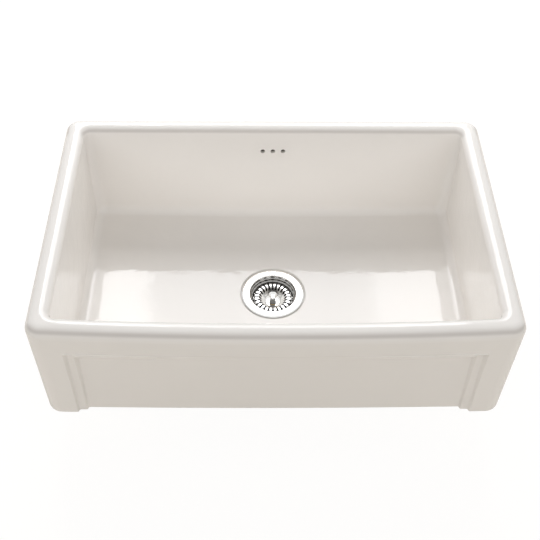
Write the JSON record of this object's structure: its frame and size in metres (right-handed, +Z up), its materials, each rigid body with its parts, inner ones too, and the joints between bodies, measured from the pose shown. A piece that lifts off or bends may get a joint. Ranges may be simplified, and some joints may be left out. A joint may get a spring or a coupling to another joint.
{
  "type": "apron front sink",
  "caption": "Glazed farmhouse sink with a bowed apron front, a stepped panel that runs out at its foot, a rectangular bowl with overflow holes and a basket strainer waste that lifts out.",
  "frame": {"origin": "on the axis of the drain hole, in the plane of the underside", "axes": "+X to the right seen from the apron, +Y to the wall behind, +Z up"},
  "size_m": [0.762, 0.5522, 0.317],
  "materials": {
    "white_glaze": "high gloss",
    "stainless_steel": "polished",
    "brass": "turned",
    "black_rubber": "matt",
    "white_plastic": "satin",
    "pipe_plastic": "satin"
  },
  "bodies": {
    "sink": {"sink_bowl": "white_glaze", "waste_flange": "stainless_steel", "flange_seal": "black_rubber", "base_seal": "black_rubber", "waste_body": "white_plastic", "screw_insert": "brass", "clamp_screw": "stainless_steel", "screw_washer": "stainless_steel", "overflow_grommet": "black_rubber", "overflow_downpipe": "pipe_plastic", "overflow_elbow": "white_plastic", "overflow_crosspipe": "pipe_plastic", "downpipe_nut": "white_plastic", "crosspipe_rear_nut": "white_plastic", "crosspipe_front_nut": "white_plastic", "downpipe_cone_washer": "black_rubber", "crosspipe_rear_cone_washer": "black_rubber", "crosspipe_front_cone_washer": "black_rubber"},
    "basket": {"strainer_basket": "stainless_steel", "stem_bush": "brass"},
    "stopper": {"lift_knob": "stainless_steel", "lift_stem": "stainless_steel", "stem_catch": "stainless_steel", "basket_stopper": "black_rubber", "stopper_washer": "stainless_steel", "stem_nut": "stainless_steel"}
  },
  "joints": [
    {"name": "basket_lift", "type": "slide", "parent": "sink", "child": "basket", "axis": [0, 0, 1], "range_m": [0, 0.26]},
    {"name": "stopper_pull", "type": "slide", "parent": "basket", "child": "stopper", "axis": [0, 0, 1], "range_m": [0, 0.008]}
  ]
}
